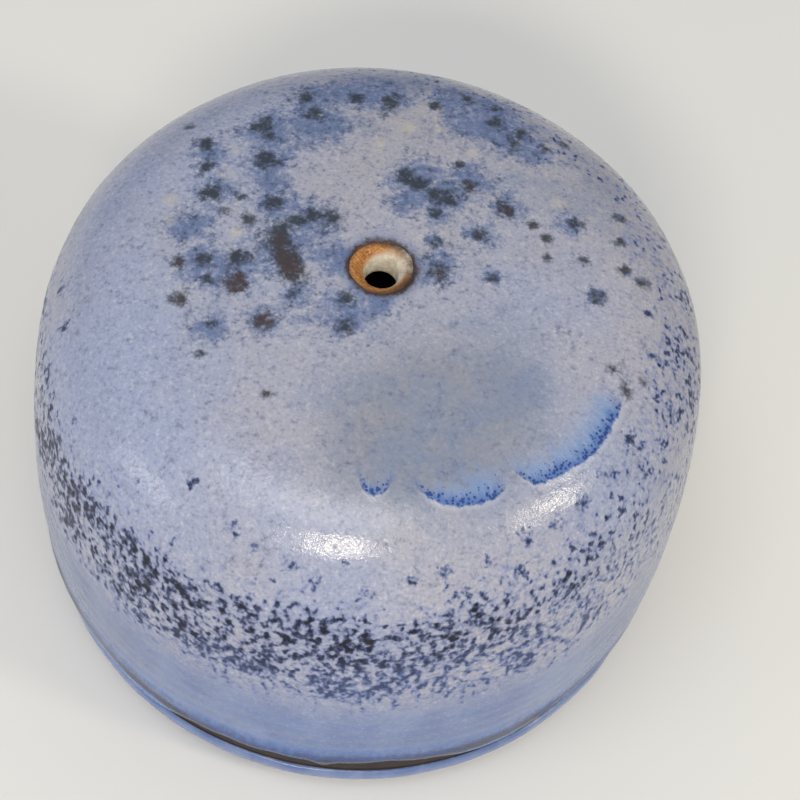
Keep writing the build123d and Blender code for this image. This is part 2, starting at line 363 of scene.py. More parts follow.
# Iron and cobalt blotches on the crown, in millimetres from the vent along the surface: right, away, radius, and
# how rusty the middle is
BLOTCHES = [
    (-17.0, 4.6, 1.8, 0.2), (-17.2, 2.2, 2.3, 0.4), (-15.4, -0.8, 2.5, 0.4), (-13.8, -3.2, 2.2, 0.4),
    (-14.8, 6.8, 1.5, 0.0), (-12.3, 8.6, 1.7, 0.0), (-8.9, 8.4, 1.6, 0.0), (-18.9, 10.4, 1.7, 0.1),
    (-22.6, 6.3, 1.4, 0.1), (-29.3, 11.3, 1.9, 0.2), (-21.6, 19.6, 2.1, 0.1), (-23.7, 27.4, 2.0, 0.0),
    (-22.0, 25.0, 1.1, 0.0), (-17.2, 35.6, 1.5, 0.0), (-15.4, 31.4, 1.6, 0.0), (-3.3, 36.9, 1.8, 0.3),
    (-32.2, 21.7, 1.4, 0.1), (-31.2, 17.0, 1.2, 0.0), (-32.3, -3.4, 1.2, 0.6), (-28.5, -2.6, 1.5, 0.3),
    (-23.0, -1.8, 1.7, 0.1), (-22.6, -6.3, 2.1, 0.9), (-27.1, -6.2, 1.0, 0.0), (-31.0, -10.3, 1.4, 0.6),
    (-16.8, -13.1, 1.8, 1.0), (-4.1, -12.6, 1.5, 0.0), (-5.0, -7.2, 1.4, 0.1), (-13.2, -7.2, 0.9, 0.0),
    (-24.5, 10.8, 0.9, 0.0), (-26.6, 7.6, 0.9, 0.0), (-25.2, -14.6, 1.0, 0.0), (-36.0, 27.0, 1.0, 0.0),
    (1.6, 19.2, 1.9, 0.1), (4.0, 17.8, 1.5, 0.1), (8.8, 15.8, 1.7, 0.2), (6.6, 16.8, 1.2, 0.0),
    (11.9, 19.5, 1.4, 0.5), (7.3, 12.1, 1.1, 0.2), (18.5, 16.2, 1.5, 0.6), (14.8, 9.4, 1.3, 0.5),
    (9.2, 0.3, 1.6, 0.6), (7.9, 6.2, 1.0, 0.0), (17.5, 1.3, 1.2, 0.0), (30.0, 16.2, 1.3, 0.1),
    (26.3, 7.6, 1.0, 0.0), (32.5, 8.8, 1.0, 0.0), (34.6, 2.1, 1.3, 0.0), (25.8, 11.8, 0.9, 0.0),
    (23.3, 13.8, 0.9, 0.4), (42.3, 7.9, 1.2, 0.0), (39.2, 9.0, 1.0, 0.0), (37.7, 20.0, 1.1, 0.0),
    (38.1, 14.6, 1.0, 0.0), (19.6, 34.2, 1.6, 0.2), (18.7, 31.2, 1.3, 0.2), (23.8, 32.0, 1.1, 0.0),
    (15.4, 36.0, 1.4, 0.0), (27.0, 35.0, 1.0, 0.0), (10.0, 41.0, 1.3, 0.0), (4.6, 37.6, 1.2, 0.0),
    (15.0, 40.2, 1.3, 0.0), (10.0, 24.2, 1.0, 0.0), (-9.0, 36.5, 1.2, 0.0), (-26.0, -20.0, 0.9, 0.3),
    (-14.5, -25.8, 0.8, 0.5), (38.6, -10.8, 0.9, 0.0), (41.2, -14.0, 1.2, 0.1), (44.0, -11.2, 0.9, 0.0),
]
# Blue halos round them, with no dark middle: right, away, radius
HALOS = [
    (-16.0, 1.5, 5.6), (-12.0, 7.5, 4.2), (-18.5, 10.0, 3.6), (-21.5, 20.0, 4.2), (-22.5, 26.5, 4.6),
    (-15.5, 28.5, 5.0), (-16.5, 35.0, 4.4), (-11.5, 29.5, 3.6), (-28.5, 12.0, 3.8), (-31.5, 20.0, 3.6),
    (-28.5, -3.5, 4.2), (-23.2, -4.2, 4.6), (-31.5, 4.0, 3.6), (-5.0, -10.0, 5.0), (-7.5, 0.5, 3.4),
    (-16.8, -13.2, 3.2), (-25.0, -15.5, 3.2), (-20.0, 15.0, 3.2), (3.0, 19.5, 4.8), (8.6, 17.0, 4.4),
    (12.5, 21.5, 3.6), (2.2, 14.0, 3.2), (7.5, 12.0, 2.4), (18.9, 17.0, 3.2), (15.0, 9.4, 2.8),
    (8.8, 1.8, 3.6), (9.5, 34.0, 4.0), (16.0, 34.0, 4.8), (22.0, 31.0, 3.8), (8.0, 40.5, 4.8),
    (-4.0, 38.5, 5.0), (-10.0, 38.0, 4.2), (14.5, 40.5, 4.6), (29.6, 15.4, 2.6), (17.5, 1.5, 2.0),
    (34.6, 2.2, 1.8), (-12.5, -7.5, 2.6), (0.5, -7.5, 2.4), (7.8, 6.5, 1.8),
]
# Lone star-shaped specks above the speckled band: right, away, radius
STARS = [
    (-24.0, -41.0, 1.3), (-16.5, -47.5, 1.4), (-13.0, -50.0, 0.9), (-7.5, -52.0, 1.6), (-3.0, -54.5, 1.1),
    (1.5, -50.5, 0.9), (6.5, -55.0, 1.3), (12.0, -51.5, 1.4), (17.0, -49.0, 1.5), (24.0, -46.5, 1.1),
    (29.0, -41.5, 1.6), (33.5, -38.0, 1.4), (22.0, -52.0, 1.7), (30.0, -47.0, 1.6), (36.5, -33.5, 1.7),
    (40.0, -28.0, 1.6), (43.5, -21.5, 1.7), (45.5, -6.0, 1.3), (44.0, 2.0, 1.2), (-50.5, -14.0, 1.4),
    (-53.5, -6.0, 1.6), (-47.0, -30.0, 1.2), (-33.0, -41.0, 1.1), (38.0, -41.0, 1.5), (45.0, -32.5, 1.6),
]
# Where the ground is bluer (weight above 0) or a duller grey (below 0): right, away, radius, weight. The dull ones at
# the far right, (55, 0) and (36, 26), are painted shade.
TINTS = [
    (-44.0, -22.0, 14.0, 1.0), (-44.0, 12.0, 12.0, 0.7), (-36.0, -38.0, 14.0, 0.8), (28.0, 6.0, 10.0, 0.5),
    (17.0, -20.0, 13.0, 0.45), (40.0, -30.0, 12.0, 0.6), (0.0, -55.0, 14.0, 0.5), (-30.0, 35.0, 14.0, 0.5),
    (55.0, 0.0, 14.0, -0.5), (36.0, 26.0, 14.0, -0.7), (0.0, 30.0, 12.0, -0.3), (5.0, -32.0, 9.0, -0.3),
]
# Steelier, duller patches of the ground: right, away, radius, weight. Those at the far right and the back, (36, 26) and
# (0, 50), are painted shade.
SHADES = [(17.0, -22.0, 14.0, 1.0), (5.0, -32.0, 12.0, 0.8), (36.0, 26.0, 14.0, 0.5), (0.0, 50.0, 20.0, 0.7)]
# Where the ground breaks to cream: right, away, radius
CREAMS = [
    (-3.6, 25.8, 1.3), (0.5, 31.0, 2.0), (6.0, 31.5, 1.6), (-28.0, 15.5, 1.8), (-36.0, 9.0, 1.6), (-20.0, -1.0, 1.3),
    (5.5, 34.5, 1.4), (12.0, 27.5, 1.2), (-26.5, 21.5, 1.5), (-35.0, 4.5, 1.3), (27.0, 20.0, 1.5), (-24.0, 3.2, 1.2),
]
# Pooled cobalt at the start of the shoulder: along each pool's outer edge, millimetres right and away from the vent
# along the surface, and how far in the haze reaches
POOLS = [
    [(1.2, -37.2, 2.0), (2.2, -39.4, 2.4), (3.8, -40.3, 2.4), (5.6, -39.5, 2.4), (6.6, -37.4, 2.0)],
    [(10.0, -37.6, 1.4), (12.2, -39.0, 1.8), (14.6, -39.6, 3.0), (17.0, -39.4, 4.0), (20.0, -38.4, 5.0),
     (22.4, -37.0, 5.2), (24.0, -34.8, 4.0)],
    [(24.4, -32.0, 3.2), (26.2, -33.0, 4.4), (28.4, -33.5, 4.8), (30.8, -32.0, 4.2), (32.4, -30.6, 4.4),
     (34.6, -28.6, 4.6), (37.0, -26.0, 5.2), (38.8, -22.4, 5.6), (40.2, -18.4, 5.6), (40.6, -15.8, 4.4)],
]
POOL_TAPER = 4.5
# By angle in degrees: how far along the surface the speckles begin, how thick they are there, and how much clay is
# left bare above the rim
SPECKLE_TOP = [(0, 42), (30, 40), (60, 38), (90, 40), (120, 47), (150, 54), (180, 56), (210, 57), (240, 58), (270, 57),
               (300, 55), (330, 49)]
SPECKLE_DENSITY = [(0, 0.72), (30, 0.66), (60, 0.6), (90, 0.6), (120, 0.55), (150, 0.62), (180, 0.85), (210, 0.95),
                   (240, 1.0), (270, 1.0), (300, 0.9), (330, 0.74)]
BARE_BAND = [(0, 4.2), (40, 5.4), (75, 4.4), (120, 5.8), (160, 5.0), (200, 4.6), (225, 2.2), (240, 2.6), (249, 5.2),
             (256, 5.9), (264, 6.1), (269, 5.6), (272, 4.0), (275, 5.6), (283, 6.2), (291, 5.0), (297, 3.4), (303, 2.8),
             (309, 3.6), (316, 5.8), (326, 5.4), (342, 4.2)]
# Painted shade on the wall, by angle: a duller, browner grey on the sides away from the front, under the crown's edge
# and low down
PAINTED_SHADE_HIGH = [(0, 0.75), (30, 1.0), (60, 1.0), (90, 0.9), (120, 0.8), (150, 0.55), (180, 0.25), (205, 0.0), (270, 0.0),
             (320, 0.0), (340, 0.3)]
PAINTED_SHADE_LOW = [(0, 0.7), (60, 1.0), (120, 0.9), (180, 0.6), (220, 0.45), (250, 0.15), (280, 0.0), (310, 0.05), (335, 0.35)]
GLAZE_LINE = 6.0  # above the rim, where the thick glaze ends even if a thin run goes on below


def blobs(x, y, places, build=0.2):
    """The highest of many soft round blobs at each point, and a little of the rest."""
    field = np.zeros_like(x)
    for px, py, radius, *_ in places:
        blob = np.exp(-0.7 * ((x - px) ** 2 + (y - py) ** 2) / radius**2)
        field = np.maximum(field, blob) + build * np.minimum(field, blob)
    return field


def weighted(x, y, places):
    field = np.zeros_like(x)
    for px, py, radius, weight in places:
        field = field + weight * np.exp(-0.7 * ((x - px) ** 2 + (y - py) ** 2) / radius**2)
    return field


def pools(along, angle):
    """How far each point is inside its pool's outer edge (negative outside), how far in that pool's haze reaches,
    and a weight that fades out past the pool's two ends."""
    inside = np.full(along.shape, -30.0)
    reach = np.ones(along.shape)
    weight = np.zeros(along.shape)
    degrees = np.degrees(angle)
    for pool in POOLS:
        x, y, haze = np.array(pool).T
        at = np.degrees(np.arctan2(y, x)) % 360
        edge = np.hypot(x, y)
        past = np.maximum(at[0] - degrees, degrees - at[-1]) * math.pi / 180 * along
        own = smooth(-past, -POOL_TAPER * 0.3, POOL_TAPER * 0.7)
        chosen = own > 0
        inside = np.where(chosen, np.interp(degrees, at, edge) - along, inside)
        reach = np.where(chosen, np.interp(degrees, at, haze), reach)
        weight = np.where(chosen, own, weight)
    return inside, reach, weight


def bell_fields(along, angle, r, z, from_end):
    x, y = along * np.cos(angle), along * np.sin(angle)
    density = round_the_pot(angle, SPECKLE_DENSITY)
    top = round_the_pot(angle, SPECKLE_TOP)
    inside, reach, weight = pools(along, angle)
    return {
        "along": along,
        "dark": blobs(x, y, BLOTCHES),
        "halo": blobs(x, y, HALOS),
        "star": blobs(x, y, STARS, 0),
        "rust": weighted(x, y, BLOTCHES),
        "tint": weighted(x, y, TINTS),
        "shade": weighted(x, y, SHADES),
        "cream": blobs(x, y, CREAMS, 0),
        "speckle": density * smooth(along, top - 7, top + 8) * (1 - smooth(along, 77, 95)),
        "pool": inside,
        "reach": reach,
        "pooled": weight,
        # painted shade on the wall's sides away from the front
        "painted_shade": (
            round_the_pot(angle, PAINTED_SHADE_HIGH) * smooth(along, 44, 64) * (1 - smooth(along, 80, 92))
            + round_the_pot(angle, PAINTED_SHADE_LOW) * smooth(along, 80, 92)
        ),
        "foot": BELL_PATH.length - GLAZE_LINE - 0.4 * ripple(angle, 23, (7, 11, 17, 29), 0.4) - along,
    }


def bell_relief(along, angle, r, z, from_end):
    points = place(r, z, angle)
    wall = smooth(along, 30, 70)
    wobble = 0.20 * wall * ripple(angle, 3) + 0.10 * lumps(points, 5, 26)
    crown_edge = 0.06 * np.exp(-(((along - 41) / 0.9) ** 2)) * np.clip(np.cos(angle - 0.4), 0, 1)
    rings = 0.035 * wall * np.sin(along * FULL_TURN / 3.7 + angle + 1.5 * ripple(angle, 8))
    inside, _, weight = pools(along, angle)
    pooled = 0.13 * weight * np.exp(-np.clip(inside, 0, None) / 1.8) * smooth(inside, -0.8, 0.3)
    bead = 0.24 * np.exp(-(((from_end - 1.3) / 1.7) ** 2)) * (1 + 0.6 * ripple(angle, 12, (7, 11, 17, 23)))
    return wobble + rings + crown_edge + pooled + bead + 0.018 * lumps(points, 9, 1.9)


BELL_COLUMNS = 512
VENT_EDGE = VENT_RADIUS + VENT_LIP
round_bell = angles(BELL_COLUMNS)
vent_edge = VENT_EDGE - 0.25 + 0.22 * ripple(round_bell, 21, (3, 5, 8, 13), 0.6)
bare_band = round_the_pot(round_bell, BARE_BAND) + 0.4 * ripple(round_bell, 22, (13, 23, 37, 53), 0.3)
bell_glaze = coat(
    "bell_glaze", BELL_PATH, vent_edge, BELL_PATH.length - bare_band, BLUE, BELL_COLUMNS, relief=bell_relief,
    fields=bell_fields, ease=(2.2, 0.8),
)


def flat_map(made, path, reach):
    """Lays the glaze out flat round the vent for baking, with the coat's hidden inner side small in a corner."""
    mesh = made.data
    layer = mesh.uv_layers.new(name="OFBake")
    count = len(mesh.loops)
    corner_vertex = np.empty(count, int)
    mesh.loops.foreach_get("vertex_index", corner_vertex)
    position = np.empty(len(mesh.vertices) * 3)
    mesh.vertices.foreach_get("co", position)
    position = position.reshape(-1, 3)
    along = np.empty(len(mesh.vertices))
    mesh.attributes["along"].data.foreach_get("value", along)
    angle = np.arctan2(position[:, 1], position[:, 0])
    hidden = along == 0
    own = np.interp(position[:, 2], path.points[::-1, 1] * MM, path.along[::-1])
    face = np.empty(count, int)
    for polygon in mesh.polygons:
        face[polygon.loop_start:polygon.loop_start + polygon.loop_total] = polygon.index
    hidden_corner = hidden[corner_vertex]
    hidden_face = np.bincount(face, hidden_corner) > 0
    inner = hidden_face[face]
    distance = np.where(inner, own[corner_vertex] * 0.12, along[corner_vertex]) / reach * 0.495
    centre = np.where(inner, 0.07, 0.5)
    u = centre + distance * np.cos(angle[corner_vertex])
    v = centre + distance * np.sin(angle[corner_vertex])
    layer.data.foreach_set("uv", np.stack([u, v], -1).reshape(-1))


flat_map(bell_glaze, BELL_PATH, BELL_PATH.length)

# ---------------------------------------------------------------- the bell's clay, liner and luted cup

COIL_OUTER = millimetres(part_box("cup_lute_coil")[1])[0]
CUP_FOOT_RADIUS = COIL_OUTER - 5.0
CUP_FOOT_WALL = 7.0
CUP_CEILING = 58.0
CUP_TOP = 63.0
CUP_WALL = 3.6
CUP_CORNER = 8.0
CUP_MOUTH_ROUND = 1.7


def bell_clay_outline():
    outer = bell_profile(BLUE, SEAT + RIM_ROUND)
    inner = bell_profile(BLUE + BELL_WALL, SEAT + RIM_ROUND)[::-1]
    outer = outer[outer[:, 0] > VENT_EDGE]
    inner = inner[inner[:, 0] > VENT_RADIUS + 0.6]
    lip = arc((VENT_EDGE, BELL_CLAY_TOP - VENT_LIP), VENT_LIP, 180, 90, step=0.2)
    throat_foot = inner[-1][1] + 0.6
    throat = np.linspace((VENT_RADIUS, throat_foot), lip[0], 5)[:-1]
    foot = rounded([(*outer[-1], 0), (outer[-1][0], SEAT, RIM_ROUND), (inner[0][0], SEAT, RIM_ROUND), (*inner[0], 0)])
    return np.concatenate([lip, outer, foot[1:-1], inner, throat])


bell_clay = turned_outline("bell_clay", bell_clay_outline(), 384, True)

inner_path = Path(bell_profile(BLUE + BELL_WALL, SEAT)[::-1])


def liner_relief(seed, ring=0.06, pitch=3.4):
    def relief(along, angle, r, z, from_end):
        rings = ring * np.sin(along * FULL_TURN / pitch + angle + 1.2 * ripple(angle, seed))
        return rings + 0.07 * lumps(place(r, z, angle), seed, 14)

    return relief


round_liner = angles(320)
bell_liner = coat(
    "bell_liner", inner_path, 2.6 + 0.5 * ripple(round_liner, 31, (3, 5, 8, 13, 21), 0.5),
    inner_path.length - COIL_OUTER - 0.3 + 0.25 * ripple(round_liner, 32, (5, 9, 14), 0.5), LINER, 320, step=1.0,
    relief=liner_relief(33),
)


def crown_inside(radius):
    return CROWN_CENTRE[1] + math.sqrt((CROWN_RADIUS - BLUE - BELL_WALL) ** 2 - radius**2)


cup_inside = CUP_CLAY_RADIUS - CUP_WALL
corner_round = CUP_CORNER + CUP_WALL
corner_centre = (CUP_CLAY_RADIUS - corner_round, CUP_TOP - corner_round)
ring_angle = math.degrees(math.acos((CUP_FOOT_RADIUS - corner_centre[0]) / corner_round))
cup_path = Path(np.concatenate([
    arc(corner_centre, corner_round, ring_angle, 0),
    rounded([
        (CUP_CLAY_RADIUS, corner_centre[1], 0), (CUP_CLAY_RADIUS, CUP_MOUTH, CUP_MOUTH_ROUND),
        (cup_inside, CUP_MOUTH, CUP_MOUTH_ROUND), (cup_inside, CUP_CEILING, CUP_CORNER), (0, CUP_CEILING, 0),
    ])[1:],
]))
foot_inside = CUP_FOOT_RADIUS - CUP_FOOT_WALL
cup_clay = turned_outline("cup_clay", np.concatenate([
    rounded([
        (0, CUP_TOP, 0), (foot_inside, CUP_TOP, 1.5), (foot_inside, crown_inside(foot_inside) + 0.1, 0),
        (CUP_FOOT_RADIUS, crown_inside(CUP_FOOT_RADIUS) + 0.1, 0), (*cup_path.points[0], 0),
    ])[:-1],
    cup_path.points,
]), 320, False)
cup_liner = coat(
    "cup_liner", cup_path, 1.0 + 0.5 * ripple(round_liner, 41, (3, 7, 11, 18), 0.5), cup_path.length, LINER, 320,
    step=1.0, axis="last", relief=liner_relief(43, 0.05),
)


def luting_coil(name, inner, outer, size, seed, columns=320):
    """A coil of clay pressed into the corner of a foot ring and the crown over it, with the marks of a fingertip."""
    angle = angles(columns)[None, :]
    press = 0.32 * np.sin(angle * 34 + 2 * ripple(angle, seed)) * (0.7 + 0.5 * ripple(angle, seed + 1, (3, 4, 6)))
    part = np.linspace(0, 1, 15)[:, None]
    low = crown_inside(inner) - size
    r = inner + (outer - inner) * part
    z = low + (crown_inside(outer) - low) * part
    hollow = np.sin(math.pi * part)
    lean = math.sqrt(0.5)
    r_face = r - lean * hollow * (0.75 + press)
    z_face = z + lean * hollow * (0.75 + press)
    r_back = np.linspace(outer, inner - 0.3, 9)[:, None] + 0 * angle
    z_back = np.sqrt((CROWN_RADIUS - BLUE - BELL_WALL) ** 2 - r_back**2) + CROWN_CENTRE[1] + 0.25
    side = np.array([[inner - 0.3, low + 1.0]])
    r_rows = np.concatenate([r_face, r_back, np.full((1, columns), side[0, 0])])
    z_rows = np.concatenate([z_face, z_back, np.full((1, columns), side[0, 1])])
    return turned(name, place(r_rows, z_rows, angle), True)


cup_coil = luting_coil("cup_coil", CUP_FOOT_RADIUS, COIL_OUTER, 5.0, 51)

# ---------------------------------------------------------------- the crock

BASE_SIDE_TOP = 8.6
BASE_SIDE_RADIUS = 5.6
BASE_UNDERSIDE = BASE_SIDE_TOP - BASE_SIDE_RADIUS
BASE_TOP_ROUND = 1.2
FOOT_RADIUS = 44.0
FOOT_WALL = 7.0
FOOT_ROUND = 1.2
WELL_WALL = 4.1
WELL_LIP = 1.8
WELL_COIL = 6.0

side_centre = (BASE_CLAY_RADIUS - BASE_SIDE_RADIUS, BASE_SIDE_TOP)
base_path = Path(np.concatenate([
    rounded([
        (WELL_CLAY_RADIUS, SEAT, 0), (BASE_CLAY_RADIUS, SEAT, BASE_TOP_ROUND), (BASE_CLAY_RADIUS, BASE_SIDE_TOP, 0),
    ]),
    arc(side_centre, BASE_SIDE_RADIUS, 0, -90)[1:],
    rounded([(side_centre[0], BASE_UNDERSIDE, 0), (FOOT_RADIUS, BASE_UNDERSIDE, 0)])[1:],
]))
base_clay = turned_outline("base_clay", np.concatenate([
    rounded([(0, WELL_FLOOR, 0), (WELL_CLAY_RADIUS, WELL_FLOOR, 0), (WELL_CLAY_RADIUS, SEAT, 0)])[:-1],
    base_path.points,
    rounded([
        (FOOT_RADIUS, BASE_UNDERSIDE, 0), (FOOT_RADIUS, 0, FOOT_ROUND), (FOOT_RADIUS - FOOT_WALL, 0, FOOT_ROUND),
        (FOOT_RADIUS - FOOT_WALL, BASE_UNDERSIDE, 1.0), (0, BASE_UNDERSIDE, 0),
    ])[1:],
]), 384, False)


def base_relief(along, angle, r, z, from_end):
    return (
        0.10 * ripple(angle, 61) + 0.07 * lumps(place(r, z, angle), 62, 11)
        + 0.16 * np.exp(-(((from_end - 1.2) / 1.2) ** 2)) * (1 + 0.7 * ripple(angle, 63, (5, 9, 14, 22)))
    )


seat_width = BASE_CLAY_RADIUS - BASE_TOP_ROUND - WELL_CLAY_RADIUS
round_base = angles(384)
base_glaze = coat(
    "base_glaze", base_path, seat_width + 1.35 + 0.25 * ripple(round_base, 64, (3, 7, 12, 19), 0.5),
    base_path.length - 2.0 + 0.3 * ripple(round_base, 65, (4, 7, 13, 22), 0.5), BLUE, 384, step=0.5,
    relief=base_relief, ease=(0.7, 0.7),
    fields=lambda along, angle, r, z, from_end: {"foot": from_end, "along": along - seat_width},
)

well_inside = WELL_CLAY_RADIUS - WELL_WALL
well_outline = rounded([
    (WELL_CLAY_RADIUS, WELL_FLOOR, 0), (well_inside, WELL_FLOOR, 0), (well_inside, WELL_TOP, WELL_LIP),
    (WELL_CLAY_RADIUS, WELL_TOP, WELL_LIP), (WELL_CLAY_RADIUS, WELL_FLOOR, 0),
])[:-1]
well_clay = turned_outline("well_clay", well_outline, 320, True)
well_path = Path(rounded([
    (0, WELL_FLOOR, 0), (well_inside - WELL_COIL, WELL_FLOOR, 4.0), (well_inside, WELL_FLOOR + WELL_COIL, 4.0),
    (well_inside, WELL_TOP, WELL_LIP), (WELL_CLAY_RADIUS, WELL_TOP, WELL_LIP), (WELL_CLAY_RADIUS, SEAT, 0),
]))
well_liner = coat(
    "well_liner", well_path, 0, well_path.length - 2.4 + 0.5 * ripple(round_liner, 71, (3, 5, 8, 13, 21), 0.5), LINER,
    320, step=1.0, axis="first", relief=liner_relief(73),
)

# ---------------------------------------------------------------- materials


def paint(red, green, blue):
    """A colour given as it looks on a screen, 0 to 255, as the linear colour that the nodes want."""
    share = [value / 255 for value in (red, green, blue)]
    linear = [s / 12.92 if s < 0.04045 else ((s + 0.055) / 1.055) ** 2.4 for s in share]
    return (*linear, 1.0)


class Shader:
    """A Principled material, with short names for the nodes that feed it."""

    def __init__(self, name, **fixed):
        self.material = bpy.data.materials.new(name)
        self.material.use_nodes = True
        self.tree = self.material.node_tree
        self.surface = self.tree.nodes["Principled BSDF"]
        for label, value in fixed.items():
            self.surface.inputs[label.replace("_", " ")].default_value = value
        self.position = self.node("ShaderNodeTexCoord").outputs["Object"]
        split = self.node("ShaderNodeSeparateXYZ", [(0, self.position)])
        self.x, self.y, self.z = (self.math("DIVIDE", axis, MM) for axis in split.outputs)

    def node(self, kind, feeds=(), **settings):
        made = self.tree.nodes.new(kind)
        for label, value in settings.items():
            setattr(made, label, value)
        for socket, value in feeds:
            if isinstance(value, bpy.types.NodeSocket):
                self.tree.links.new(value, made.inputs[socket])
            else:
                made.inputs[socket].default_value = value
        return made

    def attribute(self, name):
        return self.node("ShaderNodeAttribute", attribute_name=name).outputs["Fac"]

    def math(self, operation, first, second=0.0, clamp=False):
        made = self.node("ShaderNodeMath", [(0, first), (1, second)], operation=operation, use_clamp=clamp)
        return made.outputs[0]

    def sum(self, *terms, clamp=False):
        """The sum of (value, weight) pairs."""
        total = 0.0
        for value, weight in terms:
            made = self.node("ShaderNodeMath", [(0, value), (1, weight), (2, total)], operation="MULTIPLY_ADD")
            total = made.outputs[0]
        made.use_clamp = clamp
        return total

    def step(self, value, low, high, bottom=0.0, top=1.0):
        """bottom where the value is low, top where it is high, and a smooth change between."""
        feeds = [(0, value), (1, low), (2, high), (3, bottom), (4, top)]
        return self.node("ShaderNodeMapRange", feeds, interpolation_type="SMOOTHSTEP").outputs[0]

    def place(self, stretch=(1, 1, 1), shift=0.0):
        feeds = [(0, self.position), (1, (shift, shift, shift)), (3, stretch)]
        return self.node("ShaderNodeMapping", feeds).outputs[0]

    def noise(self, size, detail=2.0, roughness=0.55, stretch=(1, 1, 1), shift=0.0):
        """Noise of about -1 to 1, whose lumps are that many millimetres wide."""
        feeds = [(0, self.place(stretch, shift)), ("Scale", 1 / (size * MM)), ("Detail", detail),
                 ("Roughness", roughness)]
        value = self.node("ShaderNodeTexNoise", feeds).outputs["Fac"]
        return self.sum((value, 4.0), (1.0, -2.0))

    def round_noise(self, across, down, detail=2.0, roughness=0.55):
        """Noise laid out by angle and by distance down the surface, so that its streaks run away from the vent."""
        turn = self.math("MULTIPLY", self.math("ARCTAN2", self.y, self.x), OUTSIDE_RADIUS / across)
        down = self.math("DIVIDE", self.attribute("along"), down)
        laid = self.node("ShaderNodeCombineXYZ", [(0, turn), (1, down)]).outputs[0]
        feeds = [(0, laid), ("Scale", 1.0), ("Detail", detail), ("Roughness", roughness)]
        value = self.node("ShaderNodeTexNoise", feeds).outputs["Fac"]
        return self.sum((value, 4.0), (1.0, -2.0))

    def cells(self, size, feature="F1", stretch=(1, 1, 1)):
        """Distance to the nearest of scattered points that are about that many millimetres apart."""
        feeds = [(0, self.place(stretch)), ("Scale", 1 / (size * MM))]
        return self.node("ShaderNodeTexVoronoi", feeds, feature=feature).outputs["Distance"]

    def mix(self, factor, first, second, blend="MIX"):
        feeds = [(0, factor), (6, first), (7, second)]
        return self.node("ShaderNodeMix", feeds, data_type="RGBA", blend_type=blend).outputs[2]

    def feed(self, **feeds):
        for label, value in feeds.items():
            self.tree.links.new(value, self.surface.inputs[label.replace("_", " ")])

    def bump(self, height, distance, strength=1.0):
        """Bump whose height of 1 stands for that many millimetres."""
        made = self.node("ShaderNodeBump", [("Height", height), ("Distance", distance * MM), ("Strength", strength)])
        self.tree.links.new(made.outputs[0], self.surface.inputs["Normal"])


PINK_GREY = paint(170, 169, 182)
LILAC = paint(156, 165, 196)
DULL_GREY = paint(136, 140, 152)
STEEL = paint(116, 132, 162)
# the colour of the painted shade on the wall's far sides
PAINTED_SHADE_GREY = paint(116, 115, 122)
PEPPER = paint(112, 116, 142)
FLECK = paint(204, 202, 208)
CREAM = paint(198, 190, 176)
HALO_BLUE = paint(98, 115, 156)
HALO_DEEP = paint(62, 76, 108)
HALO_PALE = paint(126, 139, 176)
CORE_GREY = paint(56, 62, 70)
CORE_RUST = paint(70, 57, 52)
SPECK_NAVY = paint(16, 19, 32)
SPECK_BROWN = paint(34, 22, 18)
SPECK_DEEP = paint(56, 68, 108)
SPECK_SOFT = paint(84, 102, 152)
SPECK_HALO = paint(118, 134, 186)
LOWER_BLUE = paint(98, 120, 176)
LOWER_PALE = paint(122, 143, 190)
COBALT = paint(30, 62, 128)
COBALT_LIGHT = paint(72, 116, 190)
POOL_HAZE = paint(116, 148, 198)
POOL_DEEP = paint(74, 110, 176)
PALE_RIM_AND_HIGHLIGHT = paint(206, 210, 222)
EDGE_NAVY = paint(22, 30, 66)
LIP_FRINGE = paint(66, 56, 56)
LIP_BROWN = paint(104, 70, 46)
BROWN_CLAY = paint(62, 46, 42)


